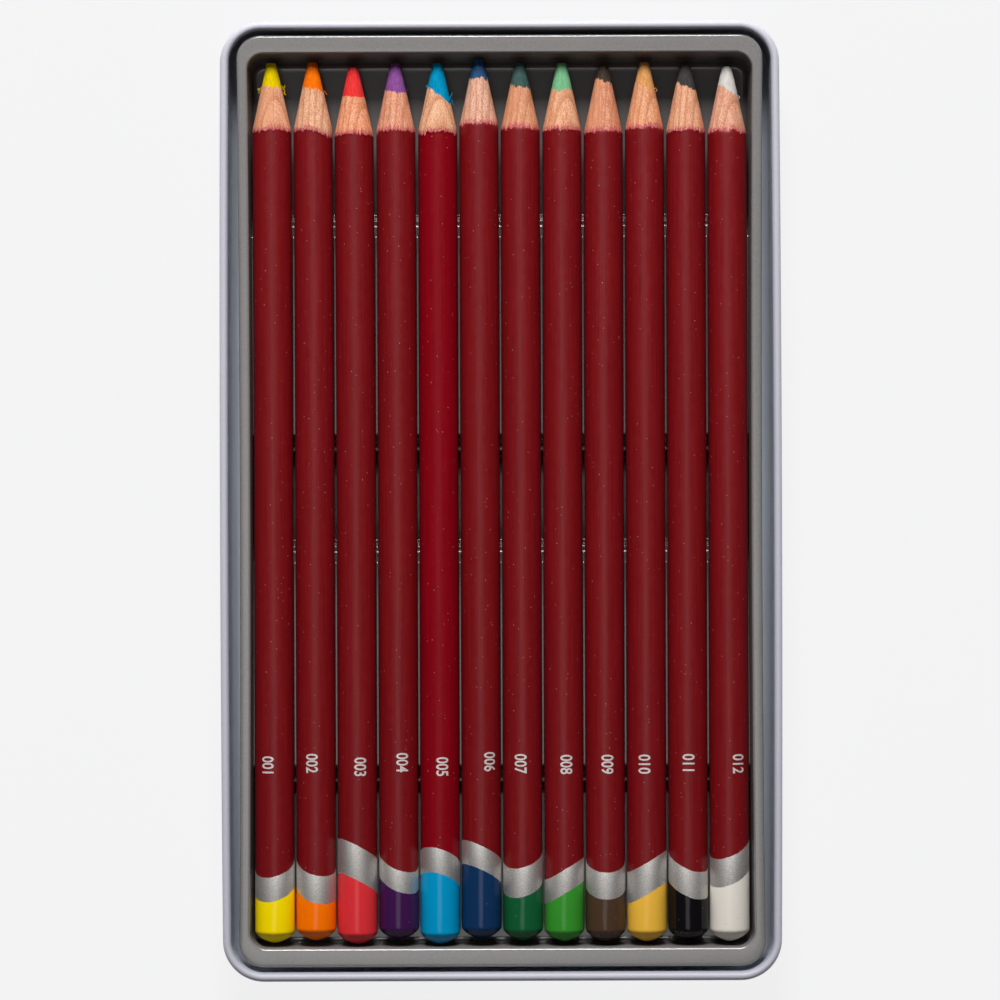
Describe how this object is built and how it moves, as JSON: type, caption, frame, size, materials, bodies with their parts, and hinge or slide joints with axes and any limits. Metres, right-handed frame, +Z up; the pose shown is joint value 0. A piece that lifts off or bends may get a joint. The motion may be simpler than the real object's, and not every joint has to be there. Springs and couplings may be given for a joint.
{
  "type": "pastel pencil tin",
  "caption": "Flat open tin with rolled rim, formed grey tray with grooved bed and end troughs, and round sharpened pastel pencils lying side by side; tray and pencils lift out.",
  "frame": {"origin": "centre of the tin's footprint, on the surface it stands on", "axes": "+X across the pencils, +Y along the pencils towards their points, +Z up out of the open tin"},
  "size_m": [0.115, 0.1964, 0.013],
  "materials": {
    "tinplate": "white outside, bare metal inside",
    "tray": "matte",
    "cedar": "bare",
    "foil": "fine metal flake",
    "lacquer": "satin lacquer on wood",
    "yellow_core": "chalky",
    "yellow_dip": "gloss",
    "orange_core": "chalky",
    "orange_dip": "gloss",
    "red_core": "chalky",
    "red_dip": "gloss",
    "violet_core": "chalky",
    "violet_dip": "gloss",
    "cyan_core": "chalky",
    "cyan_dip": "gloss",
    "blue_core": "chalky",
    "blue_dip": "gloss",
    "dark_green_core": "chalky",
    "dark_green_dip": "gloss",
    "light_green_core": "chalky",
    "light_green_dip": "gloss",
    "brown_core": "chalky",
    "brown_dip": "gloss",
    "ochre_core": "chalky",
    "ochre_dip": "gloss",
    "black_core": "chalky",
    "black_dip": "gloss",
    "white_core": "chalky",
    "white_dip": "gloss"
  },
  "bodies": {
    "tin": {"tin_base": "tinplate"},
    "tray": {"pencil_tray": "tray"},
    "yellow_pencil": {"yellow_casing": "lacquer", "yellow_core": "yellow_core"},
    "orange_pencil": {"orange_casing": "lacquer", "orange_core": "orange_core"},
    "red_pencil": {"red_casing": "lacquer", "red_core": "red_core"},
    "violet_pencil": {"violet_casing": "lacquer", "violet_core": "violet_core"},
    "cyan_pencil": {"cyan_casing": "lacquer", "cyan_core": "cyan_core"},
    "blue_pencil": {"blue_casing": "lacquer", "blue_core": "blue_core"},
    "dark_green_pencil": {"dark_green_casing": "lacquer", "dark_green_core": "dark_green_core"},
    "light_green_pencil": {"light_green_casing": "lacquer", "light_green_core": "light_green_core"},
    "brown_pencil": {"brown_casing": "lacquer", "brown_core": "brown_core"},
    "ochre_pencil": {"ochre_casing": "lacquer", "ochre_core": "ochre_core"},
    "black_pencil": {"black_casing": "lacquer", "black_core": "black_core"},
    "white_pencil": {"white_casing": "lacquer", "white_core": "white_core"}
  },
  "joints": [
    {"name": "tray_lift", "type": "slide", "parent": "tin", "child": "tray", "axis": [0, 0, 1], "range_m": [0, 0.04]},
    {"name": "yellow_lift", "type": "slide", "parent": "tray", "child": "yellow_pencil", "axis": [0, 0, 1], "range_m": [0, 0.03]},
    {"name": "orange_lift", "type": "slide", "parent": "tray", "child": "orange_pencil", "axis": [0, 0, 1], "range_m": [0, 0.03]},
    {"name": "red_lift", "type": "slide", "parent": "tray", "child": "red_pencil", "axis": [0, 0, 1], "range_m": [0, 0.03]},
    {"name": "violet_lift", "type": "slide", "parent": "tray", "child": "violet_pencil", "axis": [0, 0, 1], "range_m": [0, 0.03]},
    {"name": "cyan_lift", "type": "slide", "parent": "tray", "child": "cyan_pencil", "axis": [0, 0, 1], "range_m": [0, 0.03]},
    {"name": "blue_lift", "type": "slide", "parent": "tray", "child": "blue_pencil", "axis": [0, 0, 1], "range_m": [0, 0.03]},
    {"name": "dark_green_lift", "type": "slide", "parent": "tray", "child": "dark_green_pencil", "axis": [0, 0, 1], "range_m": [0, 0.03]},
    {"name": "light_green_lift", "type": "slide", "parent": "tray", "child": "light_green_pencil", "axis": [0, 0, 1], "range_m": [0, 0.03]},
    {"name": "brown_lift", "type": "slide", "parent": "tray", "child": "brown_pencil", "axis": [0, 0, 1], "range_m": [0, 0.03]},
    {"name": "ochre_lift", "type": "slide", "parent": "tray", "child": "ochre_pencil", "axis": [0, 0, 1], "range_m": [0, 0.03]},
    {"name": "black_lift", "type": "slide", "parent": "tray", "child": "black_pencil", "axis": [0, 0, 1], "range_m": [0, 0.03]},
    {"name": "white_lift", "type": "slide", "parent": "tray", "child": "white_pencil", "axis": [0, 0, 1], "range_m": [0, 0.03]}
  ]
}
